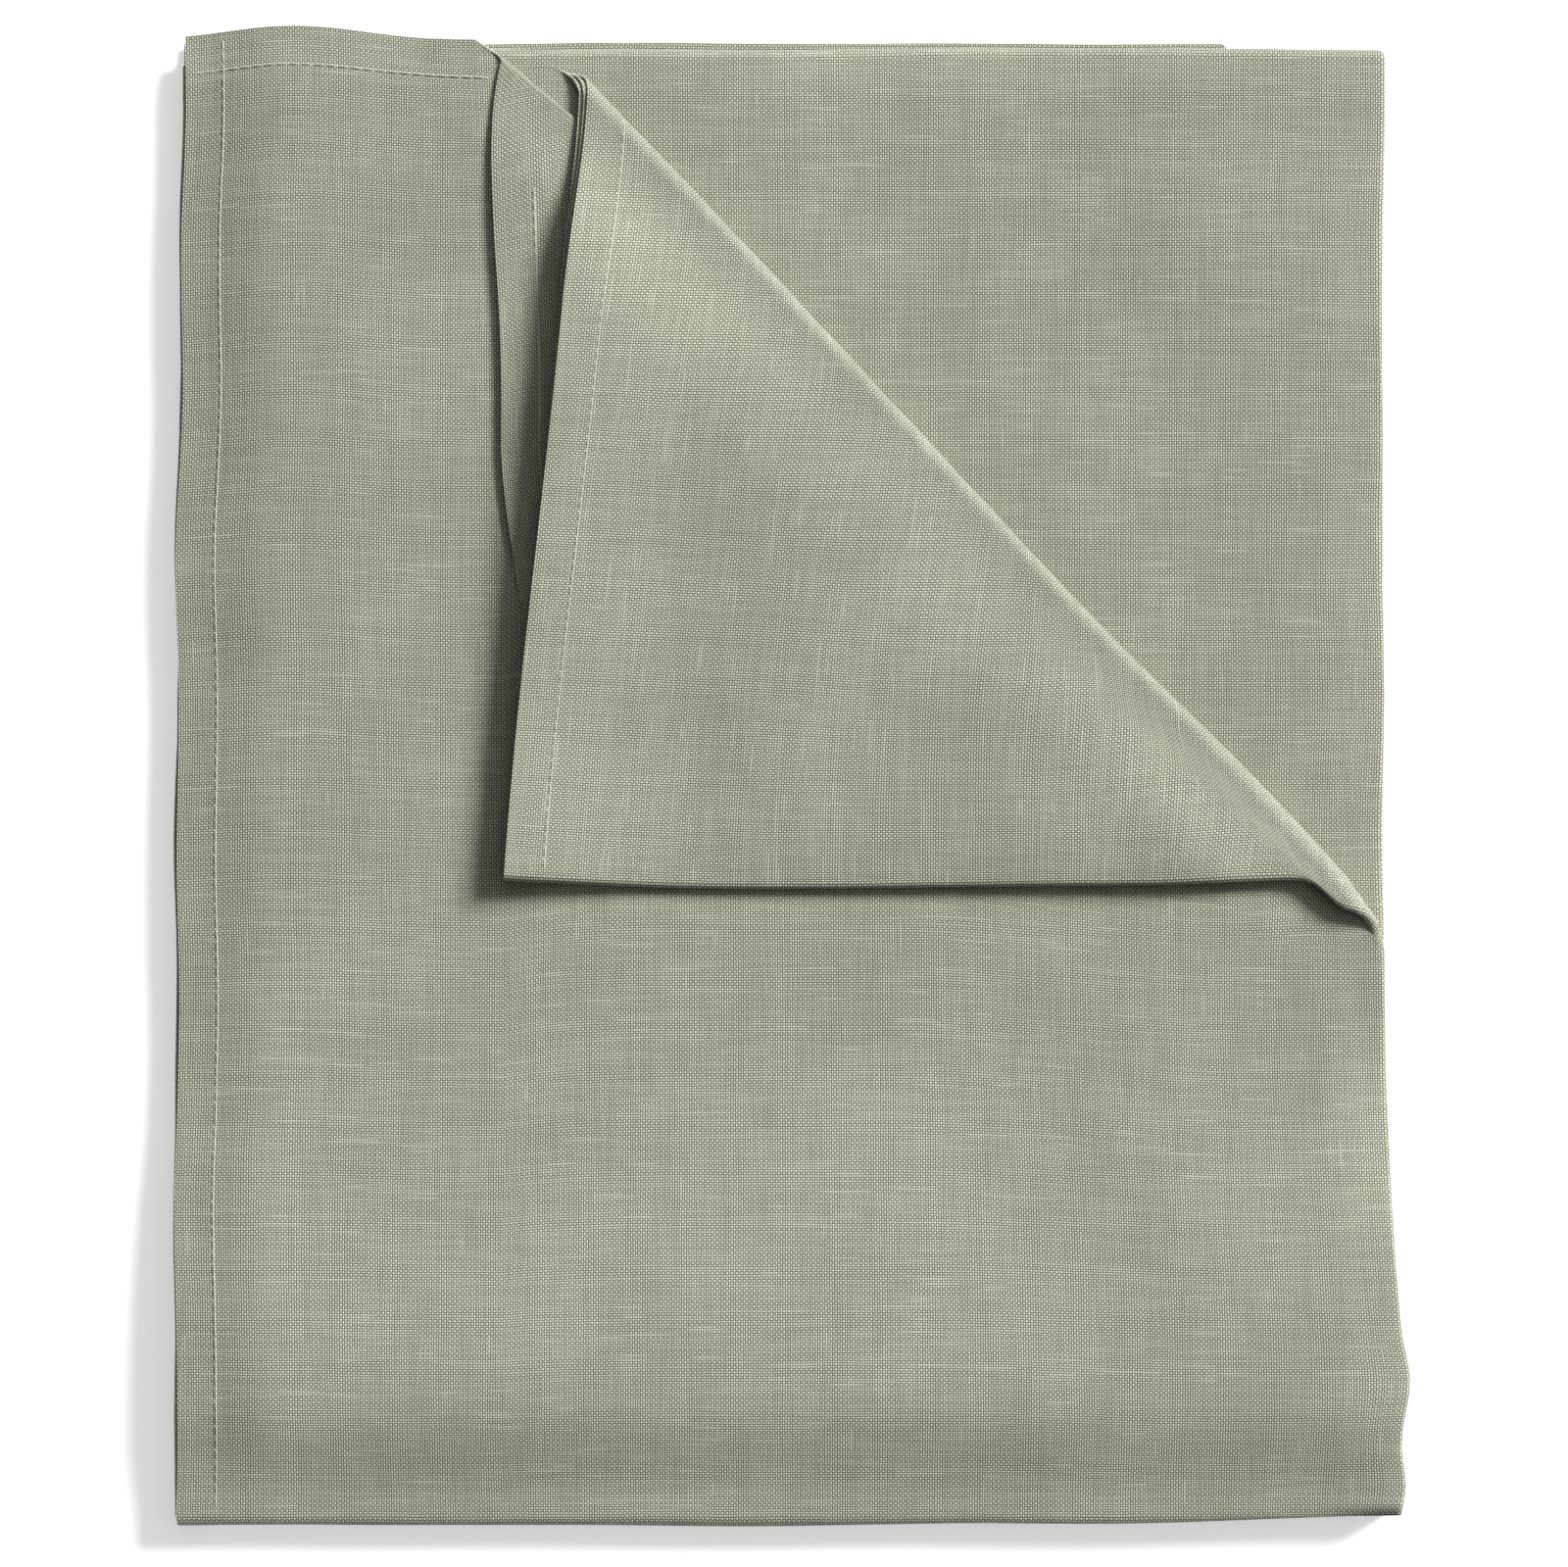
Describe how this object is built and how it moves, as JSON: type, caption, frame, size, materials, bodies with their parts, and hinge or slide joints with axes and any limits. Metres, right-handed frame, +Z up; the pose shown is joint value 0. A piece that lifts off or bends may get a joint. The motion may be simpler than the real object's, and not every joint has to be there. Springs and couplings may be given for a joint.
{
  "type": "tablecloth",
  "caption": "Hemmed plain-weave linen tablecloth, folded flat into a rectangular pack, with one corner turned back to show its underside.",
  "frame": {"origin": "middle of the pack's underside, on the surface that it lies on", "axes": "+X towards the folded right edge, +Y along the pack towards the hemmed far edge, +Z up"},
  "size_m": [0.325, 0.4, 0.0164],
  "materials": {
    "linen": "matt plain weave with slubs",
    "thread": "matt sewing thread"
  },
  "bodies": {
    "lower_rows": {"lower_column_1": "linen", "lower_column_2": "linen", "lower_column_3": "linen", "lower_column_4": "linen", "row_2_left_fold": "linen", "row_2_right_fold_inner": "linen", "row_2_right_fold_outer": "linen", "row_3_left_fold": "linen", "row_3_right_fold_inner": "linen", "row_3_right_fold_outer": "linen", "row_4_left_fold": "linen", "row_4_right_fold_inner": "linen", "row_4_right_fold_outer": "linen"},
    "top_row": {"left_hem_thread": "thread", "top_hem_thread": "thread", "top_left_fold": "linen", "top_panel_1": "linen", "top_panel_2": "linen", "top_panel_3": "linen", "top_panel_4": "linen", "top_right_fold_inner": "linen", "top_right_fold_outer": "linen"},
    "turned_corner": {"corner_fold_inner": "linen", "corner_fold_outer": "linen", "corner_hem_thread": "thread", "corner_panel_1": "linen", "corner_panel_2": "linen", "corner_panel_3": "linen", "corner_panel_4": "linen"}
  },
  "joints": [
    {"name": "row_fold", "type": "hinge", "parent": "lower_rows", "child": "top_row", "pos_m": [0, -0.19695, 0.00945], "axis": [1, 0, 0], "range_deg": [0, 175]},
    {"name": "corner_crease", "type": "hinge", "parent": "top_row", "child": "turned_corner", "pos_m": [0.04625, 0.0745, 0.01265], "axis": [-0.6802, 0.733, 0], "range_deg": [0, 165]}
  ]
}
